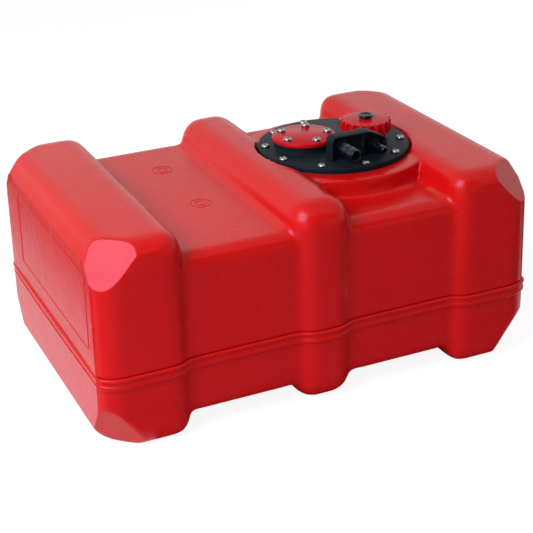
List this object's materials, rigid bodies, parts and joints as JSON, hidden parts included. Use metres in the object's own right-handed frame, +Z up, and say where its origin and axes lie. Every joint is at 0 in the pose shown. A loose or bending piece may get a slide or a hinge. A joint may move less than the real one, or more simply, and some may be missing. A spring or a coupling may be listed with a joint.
{
  "type": "fixed fuel tank",
  "caption": "Hollow red moulded boat fuel tank with raised bands and strap valleys, and a black service flange carrying a vented screw cap, a sender blank and hose tails.",
  "frame": {"origin": "on the floor under the middle of the tank's overall box", "axes": "+X along the tank's length towards the flange, +Y to the back, +Z up"},
  "size_m": [0.5012, 0.3406, 0.2505],
  "materials": {
    "red_shell": "satin moulded polyethylene",
    "red_cap": "gloss",
    "black_plastic": "fine matt",
    "black_gloss": "semi-gloss",
    "natural_plastic": "natural",
    "steel": "stainless",
    "brass": "turned",
    "rubber": "matt"
  },
  "bodies": {
    "tank": {"tank_shell": "red_shell", "flange_inserts": "brass", "flange_gasket": "rubber", "flange_plate": "black_plastic", "flange_screws": "steel", "sender_inserts": "brass", "sender_gasket": "rubber", "sender_cover": "red_cap", "sender_washers": "steel", "sender_screws": "steel", "fuel_barb": "black_gloss", "fuel_barb_seal": "rubber", "vent_barb": "black_gloss", "vent_barb_seal": "rubber", "pickup_tube": "black_plastic", "pickup_strainer": "natural_plastic"},
    "gasket": {"cap_gasket": "rubber"},
    "liner": {"cap_liner": "natural_plastic"},
    "cap": {"filler_cap": "red_cap"},
    "seal": {"vent_seal": "rubber"},
    "knob": {"vent_knob": "black_plastic", "vent_retainer": "steel"}
  },
  "joints": [
    {"name": "cap_lift", "type": "slide", "parent": "tank", "child": "gasket", "axis": [0, 0, 1], "range_m": [0, 0.07]},
    {"name": "cap_rise", "type": "slide", "parent": "gasket", "child": "liner", "axis": [0, 0, 1], "range_m": [0, 0.008]},
    {"name": "cap_turn", "type": "hinge", "parent": "liner", "child": "cap", "pos_m": [0.13045, -0.0045, 0.24], "axis": [0, 0, 1], "range_deg": [0, 720]},
    {"name": "vent_rise", "type": "slide", "parent": "cap", "child": "seal", "axis": [0, 0, 1], "range_m": [0, 0.0025]},
    {"name": "vent_turn", "type": "hinge", "parent": "seal", "child": "knob", "pos_m": [0.13045, -0.0045, 0.246], "axis": [0, 0, 1], "range_deg": [0, 720]}
  ],
  "couplings": [
    {"joint": "cap_turn", "follows": "cap_rise", "rad_per_m": 1570},
    {"joint": "vent_turn", "follows": "vent_rise", "rad_per_m": 5026}
  ]
}
